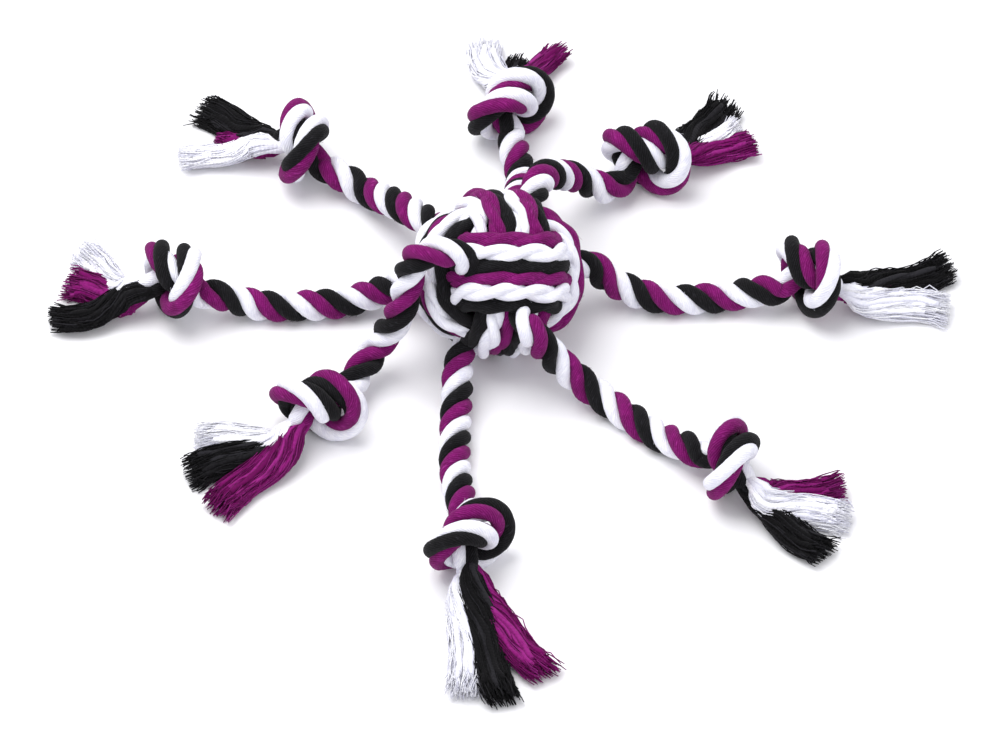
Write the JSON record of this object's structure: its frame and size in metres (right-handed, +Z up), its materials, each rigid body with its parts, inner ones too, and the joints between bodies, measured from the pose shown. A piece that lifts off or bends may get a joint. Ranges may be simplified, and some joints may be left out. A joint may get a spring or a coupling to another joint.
{
  "type": "rope dog toy",
  "caption": "Dog toy of laid cotton rope: a plaited ball whose rope ends run out as arms, each with an overhand knot and a frayed tassel.",
  "frame": {"origin": "on the floor, at the middle of the small flat under the plaited ball", "axes": "+Z up, the front arm towards -Y, the right arm towards +X"},
  "size_m": [0.3734, 0.3718, 0.073],
  "materials": {
    "laid_rope": "three-strand laid cotton rope, one purple, one black and one white strand, matt",
    "purple_yarn": "loose frayed cotton yarn, dyed purple, matt",
    "black_yarn": "loose frayed cotton yarn, dyed black, matt",
    "white_yarn": "loose frayed cotton yarn, bleached white, matt"
  },
  "bodies": {
    "ball": {"front_band_upper_turn": "laid_rope", "front_band_lower_turn": "laid_rope", "side_band_front_turn": "laid_rope", "side_band_rear_turn": "laid_rope", "top_band_right_turn": "laid_rope", "top_band_left_turn": "laid_rope", "inner_crossing": "laid_rope"},
    "front_arm": {"front_arm_rope": "laid_rope", "front_knot": "laid_rope", "front_purple_lock": "purple_yarn", "front_black_lock": "black_yarn", "front_white_lock": "white_yarn"},
    "front_right_arm": {"front_right_arm_rope": "laid_rope", "front_right_knot": "laid_rope", "front_right_purple_lock": "purple_yarn", "front_right_black_lock": "black_yarn", "front_right_white_lock": "white_yarn"},
    "right_arm": {"right_arm_rope": "laid_rope", "right_knot": "laid_rope", "right_purple_lock": "purple_yarn", "right_black_lock": "black_yarn", "right_white_lock": "white_yarn"},
    "rear_right_arm": {"rear_right_arm_rope": "laid_rope", "rear_right_knot": "laid_rope", "rear_right_purple_lock": "purple_yarn", "rear_right_black_lock": "black_yarn", "rear_right_white_lock": "white_yarn"},
    "rear_arm": {"rear_arm_rope": "laid_rope", "rear_knot": "laid_rope", "rear_purple_lock": "purple_yarn", "rear_black_lock": "black_yarn", "rear_white_lock": "white_yarn"},
    "rear_left_arm": {"rear_left_arm_rope": "laid_rope", "rear_left_knot": "laid_rope", "rear_left_purple_lock": "purple_yarn", "rear_left_black_lock": "black_yarn", "rear_left_white_lock": "white_yarn"},
    "left_arm": {"left_arm_rope": "laid_rope", "left_knot": "laid_rope", "left_purple_lock": "purple_yarn", "left_black_lock": "black_yarn", "left_white_lock": "white_yarn"},
    "front_left_arm": {"front_left_arm_rope": "laid_rope", "front_left_knot": "laid_rope", "front_left_purple_lock": "purple_yarn", "front_left_black_lock": "black_yarn", "front_left_white_lock": "white_yarn"}
  },
  "joints": [
    {"name": "front_arm_lift", "type": "hinge", "parent": "ball", "child": "front_arm", "pos_m": [-0.0165, -0.0213, 0.014], "axis": [-0.9994, -0.0346, 0], "range_deg": [0, 60]},
    {"name": "front_right_arm_lift", "type": "hinge", "parent": "ball", "child": "front_right_arm", "pos_m": [0.0119, -0.0278, 0.0404], "axis": [-0.5463, -0.8376, 0], "range_deg": [0, 60]},
    {"name": "right_arm_lift", "type": "hinge", "parent": "ball", "child": "right_arm", "pos_m": [0.0362, 0.0252, 0.0223], "axis": [-0.0494, -0.9988, 0], "range_deg": [0, 60]},
    {"name": "rear_right_arm_lift", "type": "hinge", "parent": "ball", "child": "rear_right_arm", "pos_m": [0.014, 0.0401, 0.0489], "axis": [0.74, -0.6726, 0], "range_deg": [0, 60]},
    {"name": "rear_arm_lift", "type": "hinge", "parent": "ball", "child": "rear_arm", "pos_m": [0.0048, 0.0461, 0.0302], "axis": [0.9999, 0.0121, 0], "range_deg": [0, 45]},
    {"name": "rear_left_arm_lift", "type": "hinge", "parent": "ball", "child": "rear_left_arm", "pos_m": [-0.024, 0.0386, 0.0284], "axis": [0.7041, 0.7101, 0], "range_deg": [0, 60]},
    {"name": "left_arm_lift", "type": "hinge", "parent": "ball", "child": "left_arm", "pos_m": [-0.0359, 0.0186, 0.0183], "axis": [-0.0091, 1, 0], "range_deg": [0, 60]},
    {"name": "front_left_arm_lift", "type": "hinge", "parent": "ball", "child": "front_left_arm", "pos_m": [-0.0133, -0.0153, 0.0666], "axis": [-0.4598, 0.888, 0], "range_deg": [0, 60]}
  ]
}
